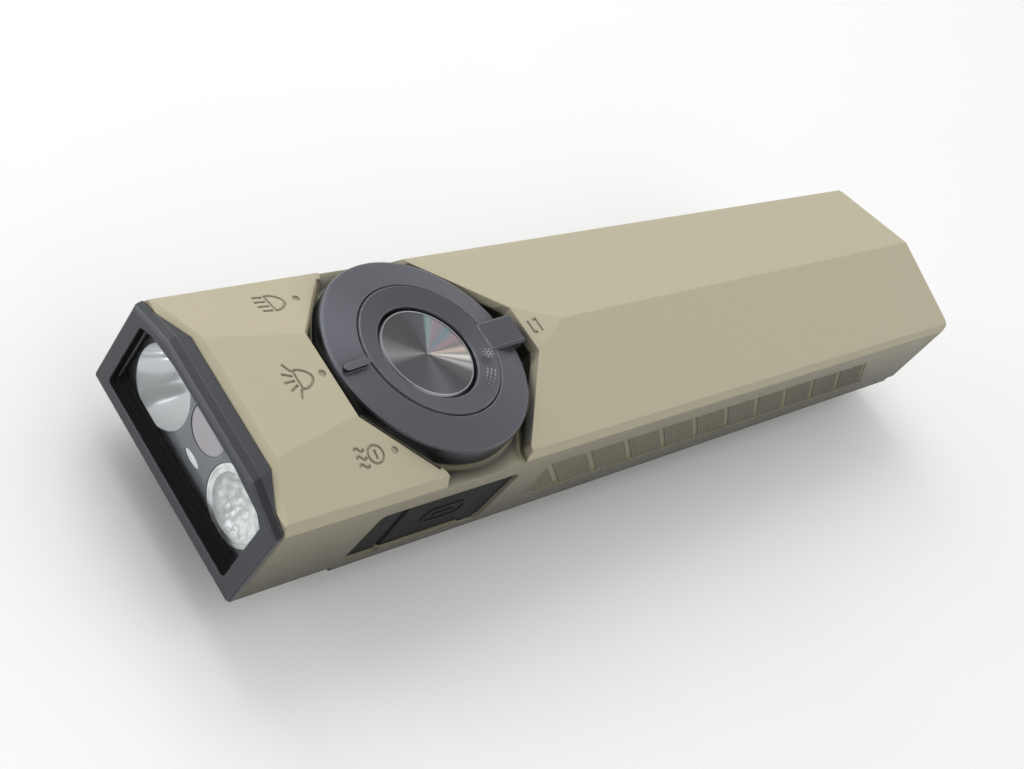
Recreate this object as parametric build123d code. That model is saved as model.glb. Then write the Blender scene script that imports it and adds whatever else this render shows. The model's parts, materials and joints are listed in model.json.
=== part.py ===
from build123d import *
import os
from math import atan, cos, degrees, radians, sin, sqrt

os.makedirs("parts", exist_ok=True)

# Flat tactical flashlight with a turning selector dial and a push button in its middle.
# Millimetres.  -Y is the lens end, +Y the tail, +X the charging-port side, +Z the dial side.
# Heights in this file count from the body's bottom face; export_part lifts every piece by
# CLIP_DROP, so that the pocket clip, the lowest piece, stands on z = 0.

# ---- body ----
LENGTH = 129.1
WIDTH = 28.0
RIDGE_Z = 15.56
EAVE_Z = 12.35
PART_Z = 11.35              # sunk floor round the dial, and the joint face under the top cover
FOOT_CUT = 0.3              # small chamfer along the bottom edges
EAVE_CUT = 0.6              # chamfer where the roof meets the side walls
TAIL_RADIUS = 1.6
TAIL_CHAMFER = 0.4
WALL = 1.6
FLOOR = 1.4
FLAT_HALF = 7.62            # half width of the front top facet at the bezel
FLAT_TIP = 39.6             # where that facet would run out on the ridge
APEX = 47.4                 # tip of the small facet behind the dial
APEX_BASE = 41.3
APEX_HALF = 3.4
HEAD_MID = 13.6             # rear edge of the front head, in the middle
HEAD_MID_HALF = 5.15
HEAD_SIDE = 21.3
HEAD_SIDE_HALF = 12.9
HEAD_ROUND = 1.2
COVER_MID = 40.9            # front edge of the top cover, in the middle
COVER_MID_HALF = 2.8
COVER_SIDE = 33.3
COVER_SIDE_HALF = 12.6
COVER_RIM = 0.7             # chamfer along the cover's front edge
HEAD_RIM = 0.35
HEAD_APRON_R = 12.75        # the head's sloping aprons end here, close round the dial
HEAD_APRON_FALL = 1.1       # their drop for each millimetre towards the dial
COVER_SKIN = 1.3
SIGN_LINE = 0.27             # stroke width and depth of the engraved signs
SIGN_DEPTH = 0.16
SOLE_IN_X, SOLE_OUT_X = 12.2, 13.85   # low feet along the bottom edges
SOLE_TOP_Z, SOLE_DROP = 0.45, 1.0
SOLE_AT = 12.6
HOLLOW_FRONT = 43.6         # start and end of the space under the cover
HOLLOW_REAR = 124.6
HOLLOW_HALF = 11.9

# ---- bezel and optics ----
BEZEL_PROUD = 0.85
SEAM_GAP = 0.15
SEAM_BEND_Z = 12.3          # above this height the seam leans back
SEAM_LEAN = 1.31
BEZEL_TOP_AT = -0.04        # front edge of the bezel's near-level top facets
BEZEL_TOP_Z = 13.26
BEZEL_TOP_HALF = 8.36
BEZEL_SIDE_Z = 11.73        # height of the side facets at the side walls
BEZEL_BEVEL = 0.81          # drop of the sloping facets between the top and the front face
OPENING_HALF = 11.95
OPENING_Z = (1.5, 11.62)
GASKET_THICK = 0.2
LEDGE = 0.4                 # inward step behind the window's front edge
POCKET_HALF = 12.5
POCKET_Z = (1.1, 11.6)
POCKET_DEPTH = 12.6
GLASS_AT = 0.35
GLASS_THICK = 0.65
PLATE_AT = 1.05
PLATE_THICK = 0.9
OPTIC_Z = 6.1
SPOT_X = -7.28
SPOT_R = 4.45
FLOOD_X = 7.15
FLOOD_R = 4.3
UV_X, UV_Z = -0.1, 8.8
UV_R = 2.72
AIM_X, AIM_Z = 0.15, 4.3
AIM_SIZE = (2.6, 1.0)
LED_AT = 8.6

# ---- dial ----
DIAL_AT = 26.66
DIAL_R = 12.5
RING_EDGE_Z = 14.4
RING_INNER_Z = 15.05
RING_BOTTOM_Z = 11.65
FACE_R = 8.5
FACE_TOP_Z = 15.15
FACE_IN_R = 6.0
FACE_IN_Z = 14.6             # its top slopes down to this at the button
FACE_SEAT_Z = 13.2
HUB_R = 9.5
HUB_IN_R = 7.2
HUB_BOTTOM_Z = 8.3
HOLE_R = 9.58               # 0.08 running clearance round the hub
ROOF_UNDER_Z = 9.85         # underside of the sunk floor
RETAINER_Z = (9.0, 9.7)
TAB_HALF = 1.85
TAB_START = 8.1
TAB_END = 13.15
TAB_TOP_Z = (15.2, 15.75)    # its top climbs outwards
POINTER = (9.0, 12.0)
STOP_ANGLE = 42.0
TRACK_R = 11.35             # circle of the detent ball and its notches
BALL_R = 0.7
MAGNET_TRACK_R = 10.9
RETAINER_R = 10.0

# ---- button ----
BUTTON_R = 5.83
BUTTON_TOP_Z = 14.4
BUTTON_SKIRT_Z = 11.2
GUIDE_BORE_R = 5.91
GUIDE_R = 6.9
GUIDE_TOP_Z = 12.9
GUIDE_PLATE_Z = (6.8, 7.9)
LEG_R = 0.75
LEG_TRACK_R = 11.35
PLUNGER_R = 1.5
PLUNGER_Z = (6.62, 13.2)     # its low end stays above the switch at the full 0.8 stroke
STEM_R = 1.2
STEM_Z = (4.7, 6.6)

# ---- electronics and battery ----
BOARD_Z = 2.4
BOARD_THICK = 1.0
BOARD_AT = (14.6, 45.0)
BATTERY_AT = (47.5, 118.5)
SOCKET_AT = 26.0
SOCKET_SIZE = (8.94, 3.26, 7.3)

# ---- charging-port cover ----
PORT_AT = (13.4, 33.8)
PORT_LEAN = 1.0             # how much further back the port's top edge stands than its bottom edge
PORT_Z = (0.9, 9.0)
PORT_FLOOR_X = 12.9
PORT_FACE_X = 13.66
HINGE_AT = 18.0
HINGE_X = 13.35
COVER_GAP = 0.2

# ---- side grips ----
GROOVE_FIRST = 39.15
GROOVE_PITCH = 6.85
GROOVE_COUNT = 11
GROOVE_Z = (2.3, 8.8)
GROOVE_WIDTH = 0.5
GROOVE_DEPTH = 0.4
PANEL_DEPTH = 0.15

# ---- pocket clip ----
CLIP_DROP = 6.2
CLIP_WIDTH = 15.0
CLIP_THICK = 1.2
CLIP_FROM, CLIP_BEND, CLIP_TO = 30.0, 102.0, 122.0
CLIP_STEP = 7.0             # length of the clip's sloping part
CLIP_SCREWS = (108.5, 117.0)
COVER_SCREWS = ((9.6, 122.0), (-9.6, 122.0), (9.9, 42.2), (-9.9, 42.2))
BOARD_SCREWS = ((-10.2, 16.4), (9.4, 16.4), (0, 43.2))

HALF_W = WIDTH / 2
FRONT_Y = -LENGTH / 2
SEAM_Y = FRONT_Y + BEZEL_PROUD
TAIL_Y = LENGTH / 2
DIAL_Y = SEAM_Y + DIAL_AT
ROOF_SLOPE = (RIDGE_Z - EAVE_Z) / HALF_W


# ---------------------------------------------------------------- helpers
def at(distance):
    """Y of a place given by its distance behind the bezel's seam."""
    return SEAM_Y + distance


def roof_z(x):
    """Height of the gable roof."""
    return RIDGE_Z - ROOF_SLOPE * abs(x)


def block(x0, x1, y0, y1, z0, z1):
    """Box between two corners."""
    return Pos((x0 + x1) / 2, (y0 + y1) / 2, (z0 + z1) / 2) * Box(x1 - x0, y1 - y0, z1 - z0)


def prism_x(points, x0, x1):
    """Y-Z outline run along X."""
    return extrude(Plane.YZ.offset(x0) * make_face(Polyline(*points, close=True)), x1 - x0)


def prism_y(points, y0, y1):
    """X-Z outline run along Y."""
    return extrude(Plane.XZ.offset(-y1) * make_face(Polyline(*points, close=True)), y1 - y0)


def prism_z(points, z0, z1):
    """X-Y outline run along Z."""
    return extrude(Plane.XY.offset(z0) * make_face(Polyline(*points, close=True)), z1 - z0)


def mirrored(right):
    """Closed outline from its right half, whose last point is on the middle line."""
    return right + [(-x, z) for x, z in reversed(right) if x != 0]


def above(p1, p2, p3, height=12.0):
    """Thick slab on the upper side of the plane through three points."""
    a, b, c = Vector(*p1), Vector(*p2), Vector(*p3)
    normal = (b - a).cross(c - a).normalized()
    if normal.Z < 0:
        normal = normal * -1
    plane = Plane(origin=a, x_dir=b - a, z_dir=normal)
    return extrude(plane * Rectangle(200, 200), height)


def disc(radius, z0, z1, x=0.0, y=DIAL_Y):
    """Upright cylinder."""
    return Pos(x, y, (z0 + z1) / 2) * Cylinder(radius, z1 - z0)


def tube(inner, outer, z0, z1, x=0.0, y=DIAL_Y):
    """Upright tube."""
    return disc(outer, z0, z1, x, y) - disc(inner, z0 - 1, z1 + 1, x, y)


def rod_y(radius, y0, y1, x, z):
    """Cylinder along Y."""
    return Pos(x, (y0 + y1) / 2, z) * Rot(90, 0, 0) * Cylinder(radius, y1 - y0)


def oval_y(size, y0, y1, x, z):
    """Elliptical bar along Y."""
    face = Plane.XZ.offset(-y1) * Pos(x, z) * Ellipse(size[0] / 2, size[1] / 2)
    return extrude(face, y1 - y0)


def on_circle(radius, angle):
    """Point on a circle round the dial's axis; 0 degrees is +X."""
    return radius * cos(radians(angle)), DIAL_Y + radius * sin(radians(angle))


def coil(radius, wire_r, z0, z1, turns, x, y):
    """Compression spring with its axis upright."""
    height = z1 - z0 - 2 * wire_r
    path = Pos(x, y, z0 + wire_r) * Helix(height / turns, height, radius)
    section = Plane(origin=path @ 0, z_dir=path % 0) * Circle(wire_r)
    return sweep(section, path=path, is_frenet=True)


def export_part(solid, node):
    """Write one piece, standing in the shared frame."""
    export_step(Pos(0, 0, CLIP_DROP) * solid, f"parts/{node}.step")


# ---------------------------------------------------------------- body shells
def body_outline(extra=0.0):
    """Five-sided section with chamfered foot and eave; extra raises its roof."""
    eave_x = HALF_W - EAVE_CUT
    return mirrored([
        (HALF_W - FOOT_CUT, 0),
        (HALF_W, FOOT_CUT),
        (HALF_W, PART_Z),
        (eave_x, roof_z(eave_x) + extra),
        (0, RIDGE_Z + extra),
    ])


def body_block():
    """Outer form of the housing and its cover together."""
    form = prism_y(body_outline(), SEAM_Y, TAIL_Y)
    plan = Pos(0, TAIL_Y - 100) * RectangleRounded(WIDTH, 200, TAIL_RADIUS)
    form &= extrude(Plane.XY.offset(-1) * plan, RIDGE_Z + 2)
    tail_edges = form.faces().sort_by(Axis.Y)[-1].edges()
    form = chamfer(tail_edges, TAIL_CHAMFER)
    front_flat = above(
        (-FLAT_HALF, SEAM_Y, roof_z(FLAT_HALF)), (FLAT_HALF, SEAM_Y, roof_z(FLAT_HALF)),
        (0, at(FLAT_TIP), RIDGE_Z))
    rear_flat = above(
        (-APEX_HALF, at(APEX_BASE), roof_z(APEX_HALF)), (APEX_HALF, at(APEX_BASE), roof_z(APEX_HALF)),
        (0, at(APEX), RIDGE_Z))
    front_zone = block(-HALF_W, HALF_W, SEAM_Y - 1, at(COVER_SIDE - 3), PART_Z, RIDGE_Z + 1)
    rear_zone = block(-HALF_W, HALF_W, at(COVER_SIDE - 3), at(APEX + 1), PART_Z, RIDGE_Z + 1)
    return form - (front_flat & front_zone) - (rear_flat & rear_zone)


def head_zone():
    """Plan of the front head above the sunk floor."""
    side = HALF_W + 1
    points = [
        (-side, SEAM_Y - 2), (side, SEAM_Y - 2), (side, at(HEAD_SIDE)),
        (HEAD_SIDE_HALF, at(HEAD_SIDE)), (HEAD_MID_HALF, at(HEAD_MID)),
        (-HEAD_MID_HALF, at(HEAD_MID)), (-HEAD_SIDE_HALF, at(HEAD_SIDE)), (-side, at(HEAD_SIDE)),
    ]
    zone = prism_z(points, PART_Z, RIDGE_Z + 1)
    corners = [edge for edge in zone.edges().filter_by(Axis.Z)
               if abs(abs(edge.center().X) - HEAD_SIDE_HALF) < 0.01]
    return fillet(corners, HEAD_ROUND)


def head_rim():
    """Small chamfer along the head's rear edge, mitred at its two inner corners."""
    mitre = HEAD_RIM * 0.4
    back = (HEAD_MID_HALF, at(HEAD_MID))
    inner = (HEAD_MID_HALF + mitre, at(HEAD_MID) - HEAD_RIM)
    run = (HEAD_SIDE_HALF - 0.6, at(HEAD_SIDE - 0.6))
    slide = HEAD_RIM * 0.7
    top = roof_z(FLAT_HALF) + (RIDGE_Z - roof_z(FLAT_HALF)) * HEAD_MID / FLAT_TIP
    foot = roof_z(back[0]) - HEAD_RIM
    rim = prism_z([(-back[0], back[1]), back, inner, (-inner[0], inner[1])], PART_Z, RIDGE_Z) & above(
        (-back[0], back[1], foot), (back[0], back[1], foot), (0, inner[1], top))
    for side in (-1, 1):
        low = (side * back[0], back[1], foot)
        far = (side * run[0], run[1], roof_z(run[0]) - HEAD_RIM)
        near = (side * (run[0] + slide), run[1] - slide, roof_z(run[0] + slide))
        strip = prism_z([low[:2], far[:2], near[:2], (side * inner[0], inner[1])], PART_Z, RIDGE_Z)
        rim += strip & above(low, far, near)
    return rim


def head_aprons():
    """Sloping corners below the head's rear edge, which close the recess round the dial."""
    run = HEAD_SIDE - 1.0
    share = (run - HEAD_MID) / (HEAD_SIDE - HEAD_MID)
    run_half = HEAD_MID_HALF + share * (HEAD_SIDE_HALF - HEAD_MID_HALF)
    corner = (HEAD_MID_HALF, at(HEAD_MID), roof_z(HEAD_MID_HALF) - HEAD_RIM)
    other = (-corner[0], *corner[1:])
    plan = prism_z([(-run_half, at(run)), other[:2], corner[:2], (run_half, at(run))], PART_Z, RIDGE_Z)
    plan -= disc(HEAD_APRON_R, PART_Z - 1, RIDGE_Z + 1)
    aprons = plan - above(other, corner, (0, corner[1] + 1, corner[2] - HEAD_APRON_FALL), height=40)
    for side in (-1, 1):
        near, far = (side * corner[0], *corner[1:]), (side * run_half, at(run), roof_z(run_half) - HEAD_RIM)
        inward = (near[0] - side * 0.705, near[1] + 0.709, near[2] - HEAD_APRON_FALL)
        aprons += plan - above(near, far, inward, height=40)
    return aprons


def cover_zone():
    """Plan of the top cover above the joint face."""
    side = HALF_W + 1
    points = [
        (-side, at(COVER_SIDE)), (-COVER_SIDE_HALF, at(COVER_SIDE)), (-COVER_MID_HALF, at(COVER_MID)),
        (COVER_MID_HALF, at(COVER_MID)), (COVER_SIDE_HALF, at(COVER_SIDE)), (side, at(COVER_SIDE)),
        (side, TAIL_Y + 1), (-side, TAIL_Y + 1),
    ]
    zone = prism_z(points, PART_Z, RIDGE_Z + 1)
    corners = [edge for edge in zone.edges().filter_by(Axis.Z)
               if abs(abs(edge.center().X) - COVER_SIDE_HALF) < 0.01]
    return fillet(corners, HEAD_ROUND)


def seam_front(offset):
    """Everything in front of the bezel's seam, moved back by offset."""
    top = RIDGE_Z + 1
    return prism_x([
        (FRONT_Y - 5, -1), (SEAM_Y + offset, -1), (SEAM_Y + offset, SEAM_BEND_Z),
        (SEAM_Y + offset + (top - SEAM_BEND_Z) * SEAM_LEAN, top), (FRONT_Y - 5, top),
    ], -HALF_W - 1, HALF_W + 1)


def pocket_outline(grow=0.0):
    """Section of the space behind the bezel, grown outward by grow."""
    low, high = POCKET_Z
    return mirrored([
        (POCKET_HALF + grow, low - grow),
        (POCKET_HALF + grow, high - 0.5 + grow),
        (FLAT_HALF, high + 0.9 + grow),
    ])


def groove_cut(side):
    """Diagonal grip grooves and the shallow panels between them on one side wall."""
    low, high = GROOVE_Z
    rise = high - low
    first, last = at(GROOVE_FIRST), at(GROOVE_FIRST + GROOVE_PITCH * (GROOVE_COUNT - 1))
    face = side * HALF_W
    panel = prism_x([(first, low), (last + rise, low), (last, high), (first, high)],
                    min(face, face - side * PANEL_DEPTH), max(face, face - side * PANEL_DEPTH))
    cut = panel
    for index in range(GROOVE_COUNT):
        middle = at(GROOVE_FIRST + GROOVE_PITCH * index) + rise / 2
        bar = Box(2 * GROOVE_DEPTH, rise * sqrt(2), GROOVE_WIDTH)
        cut += Pos(face, middle, (low + high) / 2) * Rot(-45, 0, 0) * bar
    return cut


def port_frame(gap):
    """Leaning four-sided block on the port's seat, drawn in by gap, with rounded corners."""
    low, high = PORT_Z[0] + gap, PORT_Z[1] - gap
    front, rear, lean = at(PORT_AT[0]) + gap, at(PORT_AT[1]) - gap, PORT_LEAN / 2
    frame = prism_x([(front - lean, low), (rear - lean, low), (rear + lean, high), (front + lean, high)],
                    PORT_FLOOR_X, HALF_W + 1)
    return fillet(frame.edges().filter_by(Axis.X), 0.8 - gap / 2)


def port_recess():
    """Sunk seat of the charging-port cover, with a notch under its lift tab."""
    notch = block(PORT_FLOOR_X, HALF_W + 1, at(30.2), at(33.0), 0.35, PORT_Z[0] + 1)
    return port_frame(0) + notch


def sole_rails():
    """Low feet along both bottom edges, from the charging port to the tail."""
    section = [(SOLE_IN_X, 0.3), (SOLE_IN_X, -SOLE_DROP), (SOLE_OUT_X - 0.25, -SOLE_DROP),
               (SOLE_OUT_X, 0.25 - SOLE_DROP), (SOLE_OUT_X, 0.3)]
    right = prism_y(section, at(SOLE_AT), TAIL_Y - 2.5)
    return [right, mirror(right, Plane.YZ)]


def sole_steps():
    """Shallow steps that set the bottom of both side walls back to the feet."""
    right = block(SOLE_OUT_X, HALF_W + 1, at(SOLE_AT), TAIL_Y + 1, -1, SOLE_TOP_Z)
    return [right, mirror(right, Plane.YZ)]


def main_housing(form):
    """Metal tub: front head, sunk dial floor, side walls, posts for the screws."""
    lower = form & block(-HALF_W, HALF_W, SEAM_Y, TAIL_Y, 0, PART_Z)
    head = form & head_zone()
    head = head - head_rim() + head_aprons()
    shell = lower + (head - head_signs()) - seam_front(SEAM_GAP / 2)
    for step in sole_steps():
        shell -= step
    for rail in sole_rails():
        shell += rail
    shell -= prism_y(pocket_outline(), FRONT_Y, at(POCKET_DEPTH))
    inner = HALF_W - WALL
    shell -= block(-inner, inner, at(14.0), TAIL_Y - WALL, FLOOR, ROOF_UNDER_Z)
    shell -= block(-HOLLOW_HALF, HOLLOW_HALF, at(HOLLOW_FRONT), at(HOLLOW_REAR), ROOF_UNDER_Z - 1, PART_Z + 1)
    shell += block(PORT_FLOOR_X - 1.3, inner + 0.1, at(14.0), at(35.0), FLOOR, ROOF_UNDER_Z)
    shell -= port_recess()
    shell -= disc(HOLE_R, ROOF_UNDER_Z - 1, PART_Z + 1)
    mouth = extrude(Plane.YZ.offset(10) * Pos(at(SOCKET_AT), BOARD_Z + BOARD_THICK + SOCKET_SIZE[1] / 2)
                    * SlotOverall(SOCKET_SIZE[0] + 0.3, SOCKET_SIZE[1] + 0.3), 5)
    shell -= mouth
    shell -= groove_cut(1) + groove_cut(-1)
    for x, y in COVER_SCREWS:
        shell += disc(1.9, FLOOR - 0.1, ROOF_UNDER_Z + 0.1, x, at(y))
        shell -= disc(0.85, -1, PART_Z + 1, x, at(y)) + disc(1.5, -1, 1.1, x, at(y))
    ball_x, ball_y = on_circle(TRACK_R, 180)
    shell += disc(BALL_R + 0.5, 8.0, ROOF_UNDER_Z + 0.1, ball_x, ball_y)
    shell -= disc(BALL_R + 0.06, 8.6, PART_Z + 1, ball_x, ball_y)
    for y in CLIP_SCREWS:
        shell += disc(2.2, FLOOR - 0.1, 1.85, 0, at(y))
        shell -= disc(0.9, -1, 1.6, 0, at(y))
    shell -= rod_y(0.9, at(POCKET_DEPTH - 1), at(15), 3.5, 4.5)
    return shell


def rear_cover(form):
    """Gabled metal cover behind the dial, hollow over the battery."""
    shell = form & cover_zone()
    rim = [edge for edge in shell.edges()
           if edge.center().Z > PART_Z + 0.6 and edge.center().Y < at(COVER_MID + 0.1)
           and abs(edge.tangent_at(0.5).Z) < 0.45 and abs(edge.tangent_at(0.5).X) > 0.4
           and abs(edge.center().X) < COVER_SIDE_HALF]
    shell = chamfer(rim, COVER_RIM)
    facet = degrees(atan((RIDGE_Z - roof_z(APEX_HALF)) / (APEX - APEX_BASE)))
    facet_z = RIDGE_Z - (RIDGE_Z - roof_z(APEX_HALF)) * (APEX - 43.2) / (APEX - APEX_BASE)
    shell -= engrave(turn_sign(), 0.0, 43.2, tilt_x=facet, z=facet_z)
    half = HOLLOW_HALF
    hollow = prism_y(mirrored([
        (half, PART_Z - 1), (half, roof_z(half) - COVER_SKIN), (0, RIDGE_Z - COVER_SKIN - 0.1),
    ]), at(HOLLOW_FRONT + 2), at(HOLLOW_REAR - 3.2))
    shell -= hollow
    for x, y in COVER_SCREWS:
        shell -= disc(0.6, PART_Z - 1, PART_Z + 1.0, x, at(y))
    return shell


# ---------------------------------------------------------------- engraved signs
def lamp_sign(rays):
    """Lamp bowl with rays towards the lens end; rays are (start, end) pairs."""
    bowl = Line((-1.1, 0), (1.1, 0)) + Spline((-1.1, 0), (-0.75, 1.3), (0, 1.8), (0.75, 1.3), (1.1, 0))
    faces = trace(bowl, SIGN_LINE)
    for start, end in rays:
        faces += trace(Line(start, end), SIGN_LINE)
    return faces


def spot_sign():
    """Lamp with parallel rays."""
    return lamp_sign([((x, -0.35), (x - 0.1, -1.8 + 0.25 * abs(x))) for x in (-1.05, -0.35, 0.35, 1.05)])


def flood_sign():
    """Lamp with spreading rays."""
    return lamp_sign([((0.55 * k, -0.4 + 0.05 * k * k), (1.05 * k, -1.65 + 0.22 * k * k)) for k in (-2, -1, 0, 1, 2)])


def dark_light_sign():
    """Round lamp with three wavy rays."""
    faces = trace(CenterArc((0, 0.8), 0.95, 0, 360), SIGN_LINE)
    faces += trace(Line((-0.5, 0.8), (0.5, 0.8)), SIGN_LINE)
    for x in (-0.85, 0, 0.85):
        wave = Spline((x, -0.45), (x + 0.25, -0.8), (x - 0.2, -1.25), (x, -1.65))
        faces += trace(wave, SIGN_LINE)
    return faces


def turn_sign():
    """Two bent strokes that chase each other round."""
    faces = trace(Polyline((-0.8, 0.15), (-0.8, 0.6), (0.85, 0.6)), SIGN_LINE * 1.2)
    faces += trace(Polyline((0.8, -0.15), (0.8, -0.6), (-0.85, -0.6)), SIGN_LINE * 1.2)
    return faces


def engrave(faces, x, distance, tilt_x=0.0, tilt_y=0.0, z=None):
    """Cutter for one sign, laid on the facet at a place."""
    height = roof_z(x) if z is None else z
    place = Pos(x, at(distance), height) * Rot(tilt_x, tilt_y, 0)
    return place * extrude(Plane.XY.offset(-SIGN_DEPTH) * faces, SIGN_DEPTH + 0.4)


def head_signs():
    """The three light signs with the dot at each stop."""
    lean = degrees(atan(ROOF_SLOPE))
    rise = (RIDGE_Z - roof_z(FLAT_HALF)) / FLAT_TIP
    climb = degrees(atan(rise))
    front_z = roof_z(FLAT_HALF)
    cut = engrave(spot_sign(), -10.1, 12.4, tilt_y=-lean)
    cut += engrave(Circle(0.42), -10.2, 15.9, tilt_y=-lean)
    cut += engrave(flood_sign(), -0.2, 9.2, tilt_x=climb, z=front_z + 9.2 * rise)
    cut += engrave(Circle(0.42), -0.3, 12.3, tilt_x=climb, z=front_z + 12.3 * rise)
    cut += engrave(dark_light_sign(), 9.3, 12.6, tilt_y=lean)
    return cut + engrave(Circle(0.42), 9.4, 15.9, tilt_y=lean)


# ---------------------------------------------------------------- lens end
def bezel_form():
    """Outside of the bezel: it stands a little proud of the body's top."""
    form = prism_y(body_outline(extra=1.5), FRONT_Y, at(3)) & seam_front(-SEAM_GAP / 2)
    back_z, edge_y = 13.4, at(BEZEL_TOP_AT)
    form -= above((-8, edge_y, BEZEL_TOP_Z), (8, edge_y, BEZEL_TOP_Z), (0, at(1.6), back_z))
    form -= above((-8, edge_y, BEZEL_TOP_Z), (8, edge_y, BEZEL_TOP_Z), (0, FRONT_Y, BEZEL_TOP_Z - BEZEL_BEVEL))
    for side in (-1, 1):
        low, corner = (side * HALF_W, edge_y, BEZEL_SIDE_Z), (side * BEZEL_TOP_HALF, edge_y, BEZEL_TOP_Z)
        form -= above(low, corner, (side * FLAT_HALF, at(1.6), back_z + 0.03))
        form -= above(low, corner, (side * BEZEL_TOP_HALF, FRONT_Y, BEZEL_TOP_Z - BEZEL_BEVEL))
    front_edges = form.faces().sort_by(Axis.Y)[0].edges()
    return chamfer(front_edges, 0.25)


def opening_outline(shrink=0.0):
    """Section of the bezel's window."""
    low, high = OPENING_Z
    half = OPENING_HALF - shrink
    return mirrored([
        (half - 0.4, low + shrink), (half, low + 0.4 + shrink), (half, high - 1.45 - shrink),
        (half - 1.35, high - 0.6 - shrink), (half - 5.95, high - shrink),
    ])


def bezel():
    """Front frame with a collar that slips into the housing."""
    frame = bezel_form()
    frame += prism_y(pocket_outline(-0.06), SEAM_Y - 0.3, at(GLASS_AT - GASKET_THICK))
    frame -= prism_y(opening_outline(), FRONT_Y - 1, at(-0.25))
    return frame - prism_y(opening_outline(LEDGE), FRONT_Y, at(1))


def glass_gasket():
    """Thin sealing frame between the bezel's collar and the window."""
    ring = prism_y(pocket_outline(-0.08), at(GLASS_AT - GASKET_THICK), at(GLASS_AT))
    return ring - prism_y(opening_outline(LEDGE - 0.1), at(-1), at(3))


def front_glass():
    """Flat window."""
    return prism_y(pocket_outline(-0.08), at(GLASS_AT), at(GLASS_AT + GLASS_THICK))


def optics_plate():
    """Glossy plate with a hole for each optic."""
    rear = at(PLATE_AT + PLATE_THICK)
    plate = prism_y(pocket_outline(-0.08), at(PLATE_AT), rear)
    plate -= rod_y(SPOT_R, FRONT_Y, rear + 1, SPOT_X, OPTIC_Z)
    plate -= rod_y(FLOOD_R, FRONT_Y, rear + 1, FLOOD_X, OPTIC_Z)
    plate -= rod_y(UV_R, FRONT_Y, rear + 1, UV_X, UV_Z)
    return plate - oval_y(AIM_SIZE, FRONT_Y, rear + 1, AIM_X, AIM_Z)


def spot_reflector():
    """Parabolic mirror cup, open at the back round its LED."""
    front, back = at(PLATE_AT + PLATE_THICK + 0.05), at(LED_AT - 0.05)
    rim_r, throat_r, wall = SPOT_R, 1.3, 0.4
    depth = back - front
    profile = [(throat_r + (rim_r - throat_r) * sqrt(step / 8), back - depth * step / 8) for step in range(9)]
    outer = [(r + wall, y) for r, y in reversed(profile)]
    face = make_face(Polyline(*profile, *outer, close=True))
    return Pos(SPOT_X, 0, OPTIC_Z) * revolve(face, Axis.Y)


def flood_lens():
    """Moulded total-reflection lens with a hollow for its LED and a dished front."""
    front, back = at(PLATE_AT + 0.05), at(LED_AT - 0.9)
    plate_back = at(PLATE_AT + PLATE_THICK + 0.05)
    face = make_face(Polyline(
        (0, front + 1.6), (1.5, front + 1.3), (2.3, front), (FLOOD_R - 0.05, front),
        (FLOOD_R - 0.05, plate_back), (FLOOD_R, plate_back), (3.3, back - 1.6), (2.0, back), (1.5, back),
        (1.4, back - 2.0), (0, back - 2.4), close=True))
    return Pos(FLOOD_X, 0, OPTIC_Z) * revolve(face, Axis.Y)


def led_board():
    """Upright board that carries the emitters."""
    return prism_y(pocket_outline(-0.4), at(LED_AT + 0.75), at(LED_AT + 1.75))


def led_chip(x, z, size):
    """Square emitter package with a small dome."""
    y = at(LED_AT + 0.75)
    chip = block(x - size / 2, x + size / 2, y - 0.5, y, z - size / 2, z + size / 2)
    dome = Pos(x, y - 0.5, z) * Sphere(size * 0.32)
    return chip + (dome & block(x - size, x + size, y - 3, y - 0.1, z - size, z + size))


def heat_sink():
    """Metal block that carries the emitters' heat into the housing."""
    sink = prism_y(pocket_outline(-0.05), at(LED_AT + 1.8), at(POCKET_DEPTH - 0.05))
    return sink - rod_y(0.9, at(LED_AT), at(POCKET_DEPTH + 1), 3.5, 4.5)


# ---------------------------------------------------------------- dial
def ring_section(rise=0.0):
    """Half section of the dial's outer ring; rise lifts its sloping top."""
    return make_face(Polyline(
        (HUB_IN_R, HUB_BOTTOM_Z), (HUB_R, HUB_BOTTOM_Z), (HUB_R, RING_BOTTOM_Z),
        (DIAL_R - 0.15, RING_BOTTOM_Z), (DIAL_R, RING_BOTTOM_Z + 0.2), (DIAL_R, RING_EDGE_Z - 0.35 + rise),
        (DIAL_R - 0.12, RING_EDGE_Z - 0.1 + rise), (DIAL_R - 0.4, RING_EDGE_Z + rise),
        (FACE_R + 0.2, RING_INNER_Z + rise), (FACE_R + 0.05, RING_INNER_Z - 0.15 + rise),
        (FACE_R + 0.05, FACE_SEAT_Z), (HUB_IN_R, FACE_SEAT_Z), close=True))


def spin(section):
    """Revolve a radius-height section round the dial's axis."""
    upright = Plane.XZ * section
    return Pos(0, DIAL_Y, 0) * revolve(upright, Axis.Z)


def pointer_bar():
    """Raised bar with round ends on the ring, towards the lens end."""
    length, middle = POINTER[1] - POINTER[0], -(POINTER[0] + POINTER[1]) / 2
    slot = Pos(0, DIAL_Y + middle) * Rot(0, 0, 90) * SlotOverall(length, 0.82)
    column = extrude(Plane.XY.offset(RING_BOTTOM_Z + 0.5) * slot, 6)
    return column & spin(ring_section(rise=0.55))


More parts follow.
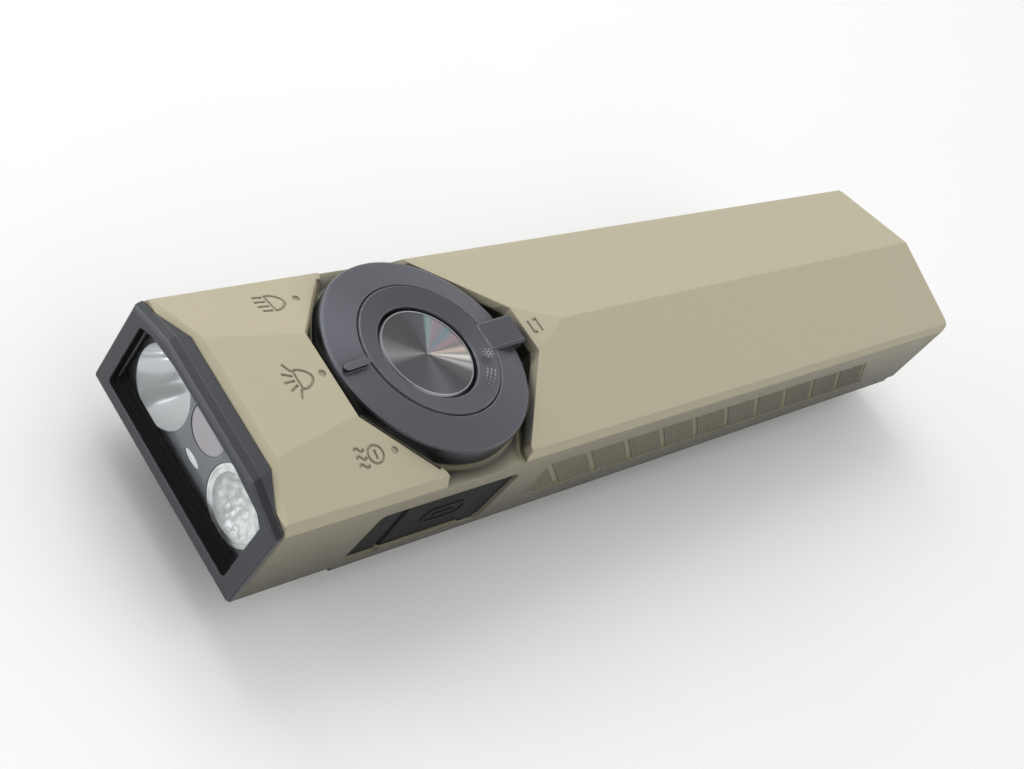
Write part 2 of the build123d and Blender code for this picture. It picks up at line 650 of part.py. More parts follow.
def dial_ring():
    """Outer ring of the selector, with its hub, grooves and pockets."""
    ring = spin(ring_section()) + pointer_bar()
    groove_r = HUB_R - 0.75
    ring -= tube(groove_r, HUB_R + 1, RETAINER_Z[0] - 0.05, RETAINER_Z[1] + 0.05)
    ring -= tube(HUB_R - 0.95, HUB_R + 0.5, 10.1, 11.0)
    for turn in (-STOP_ANGLE, 0, STOP_ANGLE):
        x, y = on_circle(TRACK_R, 180 + turn)
        ring -= Pos(x, y, RING_BOTTOM_Z - BALL_R + 0.45) * Sphere(BALL_R)
    x, y = on_circle(MAGNET_TRACK_R, 90)
    return ring - disc(1.03, RING_BOTTOM_Z - 1, RING_BOTTOM_Z + 1.3, x, y)


def dial_face(ring):
    """Raised middle ring with the thumb tab, pressed into the outer ring."""
    body = spin(make_face(Polyline(
        (FACE_IN_R, FACE_SEAT_Z), (FACE_R, FACE_SEAT_Z), (FACE_R, FACE_TOP_Z - 0.15), (FACE_R - 0.15, FACE_TOP_Z),
        (FACE_IN_R + 0.12, FACE_IN_Z), (FACE_IN_R, FACE_IN_Z - 0.1), close=True)))
    start, end = DIAL_Y + TAB_START, DIAL_Y + TAB_END
    foot = RING_EDGE_Z - 0.15
    tab = prism_x([(start, foot), (end, foot), (end, TAB_TOP_Z[1]), (start, TAB_TOP_Z[0])], -TAB_HALF, TAB_HALF)
    upright = tab.faces().sort_by(Axis.Y)[-1].edges().filter_by(Axis.Z)
    tab = fillet(upright, 0.4)
    top = tab.faces().sort_by(Axis.Z)[-1].edges() - tab.faces().sort_by(Axis.Y)[0].edges()
    tab = chamfer(top, 0.25)
    return body + (tab - ring)


def dial_seal():
    """O-ring round the dial's hub."""
    return Pos(0, DIAL_Y, 10.55) * Torus(HUB_R - 0.42, 0.42)


def dial_retainer():
    """Open snap ring under the sunk floor that keeps the dial in."""
    ring = tube(HUB_R - 0.72, RETAINER_R, *RETAINER_Z)
    return ring - block(-1.1, 1.1, DIAL_Y + 5, DIAL_Y + 14, RETAINER_Z[0] - 1, RETAINER_Z[1] + 1)


def button_guide():
    """Fixed sleeve inside the dial, on a plate with three legs under the sunk floor."""
    low, high = GUIDE_PLATE_Z
    guide = disc(GUIDE_R, low, GUIDE_TOP_Z) - disc(GUIDE_BORE_R, high, GUIDE_TOP_Z + 1)
    guide += disc(9.4, low, high)
    for angle in (30, 150, 270):
        x, y = on_circle(LEG_TRACK_R, angle)
        arm_x, arm_y = on_circle(8.6, angle)
        arm = Pos((x + arm_x) / 2, (y + arm_y) / 2, (low + high) / 2) * Rot(0, 0, angle)
        guide += arm * Box(LEG_TRACK_R - 8.6, 2 * LEG_R, high - low)
        guide += disc(LEG_R, low, ROOF_UNDER_Z - 0.02, x, y)
    return guide - disc(PLUNGER_R + 0.08, low - 1, high + 1)


# ---------------------------------------------------------------- button
def button_cap():
    """Turned metal cap with a shallow dished face and an o-ring groove in its skirt."""
    cap = disc(BUTTON_R, BUTTON_SKIRT_Z, BUTTON_TOP_Z)
    cap = chamfer(cap.edges().sort_by(Axis.Z)[-1], 0.3)
    cap -= disc(4.3, BUTTON_SKIRT_Z - 1, 13.4)
    cap += disc(2.4, 12.2, 13.5)
    cap -= disc(PLUNGER_R, 11, PLUNGER_Z[1])
    return cap - tube(BUTTON_R - 0.8, BUTTON_R + 1, 11.75, 12.6)


def button_seal():
    """O-ring in the button's skirt."""
    return Pos(0, DIAL_Y, 12.17) * Torus(BUTTON_R - 0.38, 0.4)


def switch_case():
    """Tactile switch under the button, with a hole for its stem."""
    low = BOARD_Z + BOARD_THICK
    case = block(-2.6, 2.6, DIAL_Y - 2.6, DIAL_Y + 2.6, low, low + 2.1)
    return case - disc(STEM_R + 0.08, low + 0.3, low + 4)


# ---------------------------------------------------------------- electronics
def driver_board():
    """Main circuit board, flat on the housing's floor posts."""
    board = block(-11.6, 11.2, at(BOARD_AT[0]), at(BOARD_AT[1]), BOARD_Z, BOARD_Z + BOARD_THICK)
    board -= disc(2.1, 0, 6, 9.9, at(42.2)) + disc(2.1, 0, 6, -9.9, at(42.2))
    for x, y in BOARD_SCREWS:
        board -= disc(0.75, 0, 6, x, at(y))
    return board


def board_parts():
    """Driver chips, inductor and capacitors, each its own solid."""
    low = BOARD_Z + BOARD_THICK
    places = [(-9.0, 31.5, 4.4, 4.4, 2.4), (-8.6, 22.0, 3.4, 5.0, 1.0), (-4.4, 38.6, 5.0, 5.0, 1.0),
              (3.4, 40.2, 1.6, 3.2, 1.1), (6.6, 36.8, 1.2, 2.2, 0.9), (-8.4, 38.0, 2.0, 1.2, 0.8)]
    return Compound([
        block(x - w / 2, x + w / 2, at(y) - d / 2, at(y) + d / 2, low, low + h)
        for x, y, w, d, h in places])


def hall_sensors():
    """Three sensors under the magnet's three stops."""
    low = BOARD_Z + BOARD_THICK
    solids = []
    for turn in (-STOP_ANGLE, 0, STOP_ANGLE):
        x, y = on_circle(HUB_R - 1.2, 90 + turn)
        solids.append(block(x - 0.7, x + 0.7, y - 0.7, y + 0.7, low, low + 0.6))
    return Compound(solids)


def charge_socket():
    """Metal shell of the charging socket with its contact tongue."""
    width, height, depth = SOCKET_SIZE
    outer_x = PORT_FLOOR_X - 0.35
    centre = Pos(at(SOCKET_AT), BOARD_Z + BOARD_THICK + height / 2)
    start = Plane.YZ.offset(outer_x - depth)
    shell = extrude(start * centre * SlotOverall(width, height), depth)
    shell -= extrude(Plane.YZ.offset(outer_x - depth + 0.6) * centre * SlotOverall(width - 0.6, height - 0.6), depth)
    tongue = extrude(start * centre * Rectangle(6.7, 0.7), depth - 1.0)
    return shell + tongue


def battery_cell():
    """Flat lithium cell."""
    cell = block(-11.2, 11.2, at(BATTERY_AT[0]), at(BATTERY_AT[1]), 1.9, PART_Z)
    return fillet(cell.edges().filter_by(Axis.Y), 2.0)


def battery_pad():
    """Foam pad between the cell and the cover."""
    return block(-6, 6, at(BATTERY_AT[0] + 6), at(BATTERY_AT[1] - 6), PART_Z + 0.02, PART_Z + 1.4)


def battery_tabs():
    """Two nickel strips from the cell to the board."""
    front = at(BATTERY_AT[0])
    strips = []
    for x in (-5.0, 4.4):
        strip = block(x - 1.5, x + 1.5, at(43.4), front - 0.02, BOARD_Z + BOARD_THICK + 0.02, 3.6)
        strip += block(x - 1.5, x + 1.5, front - 0.22, front - 0.02, 3.5, 6.2)
        strips.append(strip)
    return Compound(strips)


# ---------------------------------------------------------------- port cover, clip, screws
def port_plan(points):
    """Rubber slab with a chosen X-Y outline, as high as the seat allows."""
    return prism_z([(x, at(y)) for x, y in points], *PORT_Z) & port_frame(COVER_GAP)


def port_cover_anchor():
    """Fixed end of the rubber cover, in front of the hinge groove."""
    front, edge = PORT_AT[0] - 2, HINGE_AT - 0.15
    bevel = PORT_FACE_X - HINGE_X
    return port_plan([(PORT_FLOOR_X + 0.02, front), (PORT_FACE_X, front), (PORT_FACE_X, edge - bevel),
                      (HINGE_X, edge), (PORT_FLOOR_X + 0.02, edge)])


def port_cover():
    """Moving flap of the rubber cover, with its plug and lift tab."""
    rear, edge = PORT_AT[1] + 2, HINGE_AT + 0.15
    bevel = PORT_FACE_X - HINGE_X
    flap = port_plan([(PORT_FLOOR_X + 0.1, edge), (HINGE_X, edge), (PORT_FACE_X, edge + bevel),
                      (PORT_FACE_X, rear), (PORT_FLOOR_X + 0.1, rear)])
    flap += block(PORT_FLOOR_X + 0.1, PORT_FACE_X, at(30.5), at(32.7), 0.55, PORT_Z[0] + 1)
    plug = Plane.YZ.offset(PORT_FLOOR_X - 0.25) * Pos(at(SOCKET_AT), BOARD_Z + BOARD_THICK + SOCKET_SIZE[1] / 2)
    return flap + extrude(plug * SlotOverall(7.6, 2.3), 0.5)


def pocket_clip():
    """Bent steel strip: screwed foot, step down, long flat tongue and a turned-up tip."""
    drop = CLIP_DROP
    upper = [(at(CLIP_TO), 0), (at(CLIP_BEND), 0), (at(CLIP_BEND - CLIP_STEP), CLIP_THICK - drop),
             (at(CLIP_FROM + 4), CLIP_THICK - drop), (at(CLIP_FROM), 1.9 - drop)]
    lower = [(y, z - CLIP_THICK) for y, z in reversed(upper)]
    lower[2] = (lower[2][0] - 0.45, lower[2][1])
    lower[3] = (lower[3][0] - 0.45, lower[3][1])
    strip = prism_x(upper + lower, -CLIP_WIDTH / 2, CLIP_WIDTH / 2)
    ends = strip.edges().filter_by(Axis.Z)
    strip = fillet(ends, 2.5)
    for y in CLIP_SCREWS:
        strip -= disc(1.05, -3, 1, 0, at(y)) + disc(1.85, -3, -CLIP_THICK + 0.55, 0, at(y))
    return strip


def screw(x, y, head_low, head_high, head_r, shank_r, tip):
    """Upright pan-head screw with its head at the bottom and a hex socket."""
    body = disc(head_r, head_low, head_high, x, at(y)) + disc(shank_r, head_low, tip, x, at(y))
    socket = Pos(x, at(y)) * RegularPolygon(head_r * 0.45, 6)
    return body - extrude(Plane.XY.offset(head_low - 0.1) * socket, (head_high - head_low) * 0.7 + 0.1)


def clip_screws():
    """Screws that hold the clip to the housing."""
    return Compound([screw(0, y, -CLIP_THICK - 0.05, -CLIP_THICK + 0.53, 1.8, 0.88, 1.5) for y in CLIP_SCREWS])


def cover_screws():
    """Long screws from the bottom face up into the top cover."""
    return Compound([screw(x, y, 0.1, 1.08, 1.45, 0.58, PART_Z + 0.9) for x, y in COVER_SCREWS])


def board_screws():
    """Screws that hold the circuit board, driven from above into the floor."""
    low = BOARD_Z + BOARD_THICK
    return Compound([
        disc(1.3, low, low + 0.7, x, at(y)) + disc(0.72, FLOOR + 0.02, low + 0.1, x, at(y))
        for x, y in BOARD_SCREWS])


# ---------------------------------------------------------------- write every piece
def main():
    form = body_block()
    ring = dial_ring()
    ball_x, ball_y = on_circle(TRACK_R, 180)
    magnet_x, magnet_y = on_circle(MAGNET_TRACK_R, 90)
    plate_rear = at(PLATE_AT + PLATE_THICK)
    pieces = {
        "main_housing": main_housing(form),
        "rear_cover": rear_cover(form),
        "bezel": bezel(),
        "front_glass": front_glass(),
        "glass_gasket": glass_gasket(),
        "optics_plate": optics_plate(),
        "spot_reflector": spot_reflector(),
        "flood_lens": flood_lens(),
        "uv_window": rod_y(UV_R - 0.03, at(PLATE_AT + 0.1), plate_rear, UV_X, UV_Z),
        "aim_lens": oval_y([d - 0.06 for d in AIM_SIZE], at(PLATE_AT + 0.1), plate_rear, AIM_X, AIM_Z),
        "spot_led": led_chip(SPOT_X, OPTIC_Z, 1.7),
        "flood_led": led_chip(FLOOD_X, OPTIC_Z, 2.0),
        "uv_led": led_chip(UV_X, UV_Z, 1.9),
        "aim_module": rod_y(0.9, plate_rear + 0.3, at(LED_AT + 0.7), AIM_X, AIM_Z),
        "led_board": led_board(),
        "heat_sink": heat_sink(),
        "dial_ring": ring,
        "dial_face": dial_face(ring),
        "dial_seal": dial_seal(),
        "dial_retainer": dial_retainer(),
        "selector_magnet": disc(1.0, RING_BOTTOM_Z + 0.05, RING_BOTTOM_Z + 1.25, magnet_x, magnet_y),
        "detent_ball": Pos(ball_x, ball_y, PART_Z + 0.12 - BALL_R) * Sphere(BALL_R),
        "detent_spring": coil(0.5, 0.12, 8.62, PART_Z + 0.08 - 2 * BALL_R, 3.5, ball_x, ball_y),
        "button_guide": button_guide(),
        "button_cap": button_cap(),
        "button_seal": button_seal(),
        "button_plunger": disc(PLUNGER_R, *PLUNGER_Z),
        "button_spring": coil(3.2, 0.25, GUIDE_PLATE_Z[1] + 0.02, 13.38, 5, 0, DIAL_Y),
        "switch_case": switch_case(),
        "switch_stem": disc(STEM_R, *STEM_Z),
        "driver_board": driver_board(),
        "board_parts": board_parts(),
        "hall_sensors": hall_sensors(),
        "charge_socket": charge_socket(),
        "battery_cell": battery_cell(),
        "battery_pad": battery_pad(),
        "battery_tabs": battery_tabs(),
        "port_cover": port_cover(),
        "port_cover_anchor": port_cover_anchor(),
        "pocket_clip": pocket_clip(),
        "clip_screws": clip_screws(),
        "cover_screws": cover_screws(),
        "board_screws": board_screws(),
    }
    for node, solid in pieces.items():
        export_part(solid, node)


main()
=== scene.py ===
import json
from math import cos, pi, radians, sin, sqrt, tan

import bmesh
import bpy
from mathutils import Matrix, Vector, noise


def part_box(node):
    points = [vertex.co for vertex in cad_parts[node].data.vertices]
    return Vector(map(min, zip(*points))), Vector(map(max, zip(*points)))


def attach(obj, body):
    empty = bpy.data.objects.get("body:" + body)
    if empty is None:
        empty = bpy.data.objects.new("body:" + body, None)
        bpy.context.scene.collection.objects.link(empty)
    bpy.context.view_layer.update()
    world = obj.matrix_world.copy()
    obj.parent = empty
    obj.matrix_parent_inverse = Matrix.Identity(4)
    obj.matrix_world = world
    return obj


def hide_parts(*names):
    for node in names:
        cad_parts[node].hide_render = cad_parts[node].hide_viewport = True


# Looks of the flat tactical flashlight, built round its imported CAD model.
# Metres, in the CAD frame: -Y is the lens end, +X the charging-port side, +Z the dial side.

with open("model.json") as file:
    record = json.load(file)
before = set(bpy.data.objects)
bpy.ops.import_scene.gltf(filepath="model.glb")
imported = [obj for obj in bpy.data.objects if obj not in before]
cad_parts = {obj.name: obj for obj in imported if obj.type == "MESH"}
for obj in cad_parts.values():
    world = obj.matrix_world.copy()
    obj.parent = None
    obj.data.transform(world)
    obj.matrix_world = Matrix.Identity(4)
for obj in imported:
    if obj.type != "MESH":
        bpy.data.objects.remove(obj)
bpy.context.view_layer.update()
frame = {"nodes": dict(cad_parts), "record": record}

MM = 0.001

# ---- painted shade: darkening painted into the colour of broad faces that look at the table; openness 1 is a face with nothing near it ----
SHADE_REACH = 40 * MM          # how near a surface has to be to shade another
SHADE_OPENNESS = (0.93, 0.62)  # where the darkening starts and where it is complete
SHADE_TINT = 0.06              # share of the colour that is left in full shade
GROOVE_REACH = 0.7 * MM        # narrow grooves are told apart within this
GROOVE_OPENNESS = (0.6, 0.9)   # grooves are left alone below, broad faces shaded above

# ---- finishes ----
SOFT_EDGE = (0.998, 0.93)      # cosines of the bend at which an edge starts to wear and take a painted highlight, and at which both are complete
GLOSS_SWING = 0.06             # roughness goes this much up and down over a coated surface
GLASS_IOR = 1.1                # of the coated window, whose reflection is fainter than bare glass
RIM_FADE = (0.22, 0.18)        # mm inside the button's edge where its pale rim, a highlight painted on the chamfer, starts and is complete

# ---- camera ----
AIM = Vector((2.3, -19.92, 13.0)) * MM
AZIMUTH, ELEVATION, ROLL = 23.29, 38.28, 40.8
DISTANCE = 179.17 * MM
LENS, SENSOR_WIDTH = 54.57, 36.0      # mm

# ---- light: directions from the object, and strengths ----
TENT_DIM = (0.2, -0.8, 0.5)
TENT_LEVELS = (0.12, 0.95)
TENT_EDGE = (0.62, 0.95)      # cosines between which the tent goes from bright to dim
KEY_TOWARDS = (-0.65, 0.05, 0.75)
KEY_POWER = 1.35
KEY_DISTANCE, KEY_SIZE = 0.7, 0.5
FILL_TOWARDS = (-0.55, -0.82, 0.1)
FILL_POWER = 1.9
FILL_DISTANCE, FILL_SIZE = 0.6, 0.4
FLOOR_RADIUS = 4.0

# ---- grip ribs on the side walls, mm behind the housing's front edge and above the body's underside ----
GRIP_START = 39.075
GRIP_LOW, GRIP_HIGH = 2.3, 8.8
GRIP_PITCH = 6.85
GRIP_GROOVES = 11
GRIP_SUNK = 0.15
GROOVE_RUN = 0.75        # length that a diagonal groove takes along the side
RIBS_PER_PANEL = 15
RIB_FOOT, RIB_TOP = 0.42, 0.16      # half widths as shares of the ribs' pitch
RIB_TALL = 0.6           # height as a share of the panel's depth
SHORTEST_RIB = 0.35      # anything shorter is left out at the panels' corners

# ---- opening of the bezel, mm; heights are above the body's underside ----
OPENING_HALF = 11.95
SILL_Z, LINTEL_Z = 1.5, 11.62
SILL_CUT = 0.4           # cut corner at both ends of the sill
SHOULDER = ((0.0, 1.45), (1.35, 0.6), (5.95, 0.0))     # corners above, in from the side and below the lintel
LINTEL_INSET = 0.4       # share of a step's side inset that its top edge comes down
SHROUD_FRONT = 0.25 * MM       # behind the bezel's front face
GLASS_GAP = 0.02 * MM
# steps of the liner: inset from the sides, rise of the sill, share of the way to the glass;
# the first and the last one are its outer skin
SHROUD_STEPS = (
    (0.02, 0.02, 0.0),
    (0.14, 0.2, 0.0),
    (0.2, 0.45, 0.35),
    (0.36, 0.75, 0.38),
    (0.42, 1.1, 0.8),
    (0.55, 1.6, 1.0),
    (0.02, 0.02, 1.0),
)

# ---- raised outline on the port cover ----
SIGN_HALF = 1.8 * MM
SIGN_RADIUS = 1.15 * MM
SIGN_BAR = 1.5 * MM
SIGN_LINE = 0.34 * MM
SIGN_TALL = 0.1 * MM
SIGN_SUNK = 0.02 * MM
SIGN_FORWARD = 0.6 * MM

# ---- marks on the dial's middle ring, angle in degrees from +X ----
FACE_DROP = 0.22 * MM    # the middle ring's top edge above the marks on its slope
FACE_TILT = 13.0         # slope of the middle ring towards the button, in degrees
MARK_RADIUS = 7.1 * MM
MARK_THICK = 0.025 * MM
MARK_LINE = 0.11 * MM
SUN_ANGLE, BARS_ANGLE = 71.0, 52.0
SUN_RADIUS = 0.24 * MM
RAY_START, RAY_END = 0.38 * MM, 0.66 * MM
RAYS = 8
BAR_LENGTHS = (0.42, 0.32, 0.22, 0.14, 0.08)    # mm, one for each row of three
BAR_STEP = 4.4           # degrees from row to row
BAR_APART = 0.42 * MM


# ================================================================ material helpers
def srgb(red, green, blue):
    """Linear colour from 0-255 display values."""
    def linear(value):
        value /= 255
        return value / 12.92 if value <= 0.04045 else ((value + 0.055) / 1.055) ** 2.4
    return Vector((linear(red), linear(green), linear(blue)))


class Shader:
    """A node material under construction, with texture coordinates in millimetres."""

    def __init__(self, name):
        self.material = bpy.data.materials.new(name)
        self.material.use_nodes = True
        self.tree = self.material.node_tree
        self.tree.nodes.clear()
        self.output = self.node("ShaderNodeOutputMaterial")
        self.bsdf = self.node("ShaderNodeBsdfPrincipled")
        self.link(self.bsdf.outputs["BSDF"], self.output.inputs["Surface"])
        coordinates = self.node("ShaderNodeTexCoord")
        scale = self.node("ShaderNodeVectorMath", operation="SCALE")
        scale.inputs["Scale"].default_value = 1 / MM
        self.link(coordinates.outputs["Object"], scale.inputs[0])
        self.place = scale.outputs[0]

    def node(self, kind, **settings):
        """New node with its settings."""
        made = self.tree.nodes.new(kind)
        for key, value in settings.items():
            setattr(made, key, value)
        return made

    def link(self, source, target):
        """Join an output to an input."""
        self.tree.links.new(source, target)

    def set(self, **values):
        """Constant values on the shader's own sockets."""
        for key, value in values.items():
            socket = self.bsdf.inputs[key.replace("_", " ")]
            socket.default_value = (*value, 1) if hasattr(value, "__len__") else value

    def noise(self, per_mm, detail=2.0, stretch=(1, 1, 1)):
        """Noise value, with features of about 1 / per_mm millimetres."""
        mapping = self.node("ShaderNodeMapping")
        mapping.inputs["Scale"].default_value = [per_mm * axis for axis in stretch]
        self.link(self.place, mapping.inputs["Vector"])
        texture = self.node("ShaderNodeTexNoise")
        texture.inputs["Scale"].default_value = 1.0
        texture.inputs["Detail"].default_value = detail
        self.link(mapping.outputs[0], texture.inputs["Vector"])
        return texture.outputs["Fac"]

    def cells(self, per_mm):
        """Distance to the nearest of scattered points, for pebbled surfaces."""
        texture = self.node("ShaderNodeTexVoronoi")
        texture.inputs["Scale"].default_value = per_mm
        self.link(self.place, texture.inputs["Vector"])
        return texture.outputs["Distance"]

    def remap(self, value, low, high, to_low=0.0, to_high=1.0):
        """Stretch a value from one range to another, held at its ends."""
        mapped = self.node("ShaderNodeMapRange")
        for key, number in (("From Min", low), ("From Max", high), ("To Min", to_low), ("To Max", to_high)):
            mapped.inputs[key].default_value = number
        self.link(value, mapped.inputs["Value"])
        return mapped.outputs["Result"]

    def math(self, operation, first, second):
        """Result of an operation on two values; each is a number or a socket."""
        made = self.node("ShaderNodeMath", operation=operation)
        for socket, value in zip(made.inputs, (first, second)):
            if hasattr(value, "links"):
                self.link(value, socket)
            else:
                socket.default_value = value
        return made.outputs[0]

    def blend(self, share, first, second):
        """Colour between two; each is a colour or a socket."""
        mix = self.node("ShaderNodeMix", data_type="RGBA")
        self.link(share, mix.inputs["Factor"])
        for socket, value in ((mix.inputs[6], first), (mix.inputs[7], second)):
            if hasattr(value, "links"):
                self.link(value, socket)
            else:
                socket.default_value = (*value, 1)
        return mix.outputs[2]

    def rounded(self, radius_mm):
        """Normal with softened edges, and a mask that is 1 along them."""
        bevel = self.node("ShaderNodeBevel", samples=4)
        bevel.inputs["Radius"].default_value = radius_mm * MM
        geometry = self.node("ShaderNodeNewGeometry")
        across = self.node("ShaderNodeVectorMath", operation="DOT_PRODUCT")
        self.link(bevel.outputs[0], across.inputs[0])
        self.link(geometry.outputs["True Normal"], across.inputs[1])
        return bevel.outputs[0], self.remap(across.outputs["Value"], *SOFT_EDGE)

    def bump(self, height, depth_mm, normal=None):
        """Bumps of a real depth on top of a normal."""
        made = self.node("ShaderNodeBump")
        made.inputs["Strength"].default_value = 1.0
        made.inputs["Distance"].default_value = depth_mm * MM
        self.link(height, made.inputs["Height"])
        if normal is not None:
            self.link(normal, made.inputs["Normal"])
        return made.outputs[0]


def coated(name, colour, worn_and_highlight, rough, grain, depth, mottle=0.05, rounding=0.12, wear_and_highlight=0.5, shade=0.0,
           **constants):
    """Machined or moulded surface: fine grain, slow tone changes, softened edges lightened for wear and a
    painted edge highlight.

    With shade, broad faces turned towards the table or a neighbouring part are darker: painted shade in their
    colour.
    """
    surface = Shader(name)
    surface.set(**constants)
    broad = surface.noise(0.09, detail=3)
    patch = surface.noise(0.9, detail=4)
    fine = surface.noise(1 / grain, detail=2)
    normal, edge = surface.rounded(rounding)
    tone = surface.blend(broad, colour * (1 - mottle), colour * (1 + mottle))
    speckle = surface.blend(surface.remap(fine, 0.3, 0.7), tone, colour * (1 + mottle))
    # edges lightened in colour: partly wear, partly a painted highlight
    wear_and_highlight_share = surface.math("MULTIPLY", edge, surface.remap(patch, 0.3, 0.65, wear_and_highlight * 0.4, wear_and_highlight))
    finished = surface.blend(wear_and_highlight_share, speckle, worn_and_highlight)
    # painted shade: faces that look at the table or at a neighbouring part are darkened in colour
    if shade:
        wide = surface.node("ShaderNodeAmbientOcclusion", samples=8)
        wide.inputs["Distance"].default_value = SHADE_REACH
        close = surface.node("ShaderNodeAmbientOcclusion", samples=4)
        close.inputs["Distance"].default_value = GROOVE_REACH
        closed_in = surface.remap(wide.outputs["AO"], *SHADE_OPENNESS, 0.0, shade)
        broad_face = surface.remap(close.outputs["AO"], *GROOVE_OPENNESS)
        shaded = surface.math("MULTIPLY", closed_in, broad_face)
        finished = surface.blend(shaded, finished, colour * SHADE_TINT)
    surface.link(finished, surface.bsdf.inputs["Base Color"])
    both = surface.math("ADD", broad, patch)
    gloss = surface.remap(both, 0.6, 1.4, rough - GLOSS_SWING, rough + GLOSS_SWING)
    surface.link(gloss, surface.bsdf.inputs["Roughness"])
    surface.link(surface.bump(fine, depth, normal), surface.bsdf.inputs["Normal"])
    return surface.material


# ================================================================ materials
def shell_finish():
    """Matte tan hard-anodised metal with a fine blasted grain, with painted shade on faces turned towards the
    table.
    """
    return coated("tan_anodised", srgb(177, 170, 144), srgb(196, 190, 166), rough=0.5, grain=0.14,
                  depth=0.006, mottle=0.04, rounding=0.32, wear_and_highlight=0.45, shade=1.0, Metallic=0.12, IOR=1.5)


def bezel_finish():
    """Satin dark blue-grey anodised metal."""
    return coated("bezel_anodised", srgb(60, 62, 66), srgb(104, 106, 111), rough=0.36, grain=0.1,
                  depth=0.003, rounding=0.2, wear_and_highlight=0.7, Metallic=0.45)


def dial_finish():
    """Satin blue-grey turned metal, with painted shade on faces turned towards the table or a neighbouring
    part.
    """
    return coated("dial_anodised", srgb(80, 81, 88), srgb(140, 142, 150), rough=0.33, grain=0.09,
                  depth=0.002, rounding=0.2, wear_and_highlight=0.8, shade=0.9, Metallic=0.5)


def dial_centre_finish():
    """Dark metal with a coarser blasted grain."""
    return coated("dial_centre_blasted", srgb(74, 75, 79), srgb(150, 153, 160), rough=0.36, grain=0.16,
                  depth=0.012, rounding=0.14, wear_and_highlight=0.9, Metallic=0.5)


def rubber_finish(name, colour, rough=0.6):
    """Matte moulded rubber."""
    return coated(name, colour, colour * 2.2, rough=rough, grain=0.12, depth=0.004, mottle=0.12,
                  rounding=0.15, wear_and_highlight=0.5, IOR=1.22)


def button_finish():
    """Spun metal: circular grain that fans the light out, with highlight fans and rainbow tints painted into
    its colour by direction.
    """
    surface = Shader("button_spun")
    low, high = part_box("button_cap")
    centre = (low + high) / 2
    offset = surface.node("ShaderNodeVectorMath", operation="SUBTRACT")
    offset.inputs[1].default_value = centre / MM
    surface.link(surface.place, offset.inputs[0])
    split = surface.node("ShaderNodeSeparateXYZ")
    surface.link(offset.outputs[0], split.inputs[0])
    angle = surface.math("ARCTAN2", split.outputs["Y"], split.outputs["X"])
    turn = surface.remap(angle, -pi, pi)
    painted_fan_ramp = surface.node("ShaderNodeValToRGB")
    grey, pale = (92, 92, 95), (128, 128, 131)
    # painted highlight fans and rainbow tints: share of a full turn, counted from -X towards -Y, and the
    # colour there
    painted_fan_tints = [
        (0.0, (84, 84, 87)), (0.14, grey), (0.19, pale), (0.23, (150, 150, 152)), (0.27, grey),
        (0.40, (84, 85, 88)), (0.48, (100, 101, 104)), (0.56, (86, 86, 89)), (0.64, (112, 112, 114)),
        (0.665, (205, 203, 200)), (0.68, (150, 150, 150)), (0.70, (252, 249, 244)),
        (0.715, (168, 164, 160)), (0.735, (222, 204, 192)), (0.755, (140, 138, 138)),
        (0.78, (176, 148, 158)), (0.82, (128, 152, 158)), (0.86, (156, 138, 146)),
        (0.905, (130, 152, 150)), (0.92, (90, 91, 94)), (1.0, (84, 84, 87)),
    ]
    elements = painted_fan_ramp.color_ramp.elements
    while len(elements) < len(painted_fan_tints):
        elements.new(0.5)
    for element, (position, colour) in zip(elements, painted_fan_tints):
        element.position = position
        element.color = (*srgb(*colour), 1)
    surface.link(turn, painted_fan_ramp.inputs[0])
    radius = surface.node("ShaderNodeVectorMath", operation="LENGTH")
    surface.link(offset.outputs[0], radius.inputs[0])
    rings = surface.node("ShaderNodeTexNoise", noise_dimensions="1D")
    rings.inputs["Scale"].default_value = 14.0
    rings.inputs["Detail"].default_value = 4.0
    surface.link(radius.outputs["Value"], rings.inputs["W"])
    tone = surface.blend(surface.remap(rings.outputs["Fac"], 0.3, 0.7, 0.0, 0.35),
                         painted_fan_ramp.outputs["Color"], srgb(70, 71, 75))
    rim = (high.x - low.x) / 2 / MM
    # pale rim: a highlight painted into the colour of the chamfer
    rim_highlight_share = surface.remap(radius.outputs["Value"], rim - RIM_FADE[0], rim - RIM_FADE[1])
    tone = surface.blend(rim_highlight_share, tone, srgb(150, 151, 154))
    surface.link(tone, surface.bsdf.inputs["Base Color"])
    surface.link(surface.remap(rings.outputs["Fac"], 0.3, 0.7, 0.24, 0.34), surface.bsdf.inputs["Roughness"])
    tangent = surface.node("ShaderNodeTangent", direction_type="RADIAL", axis="Z")
    surface.link(tangent.outputs[0], surface.bsdf.inputs["Tangent"])
    surface.link(surface.bump(rings.outputs["Fac"], 0.004), surface.bsdf.inputs["Normal"])
    surface.set(Metallic=1.0, Anisotropic=0.9)
    return surface.material


def mirror_finish():
    """Vacuum-metallised cup with faint waves."""
    surface = Shader("mirror_cup")
    tone = surface.blend(surface.noise(0.4, detail=2), srgb(250, 250, 250), srgb(255, 255, 255))
    surface.link(tone, surface.bsdf.inputs["Base Color"])
    surface.link(surface.remap(surface.noise(0.8), 0.3, 0.7, 0.05, 0.11), surface.bsdf.inputs["Roughness"])
    surface.link(surface.bump(surface.noise(0.7, detail=2), 0.004), surface.bsdf.inputs["Normal"])
    surface.set(Metallic=0.55)
    return surface.material


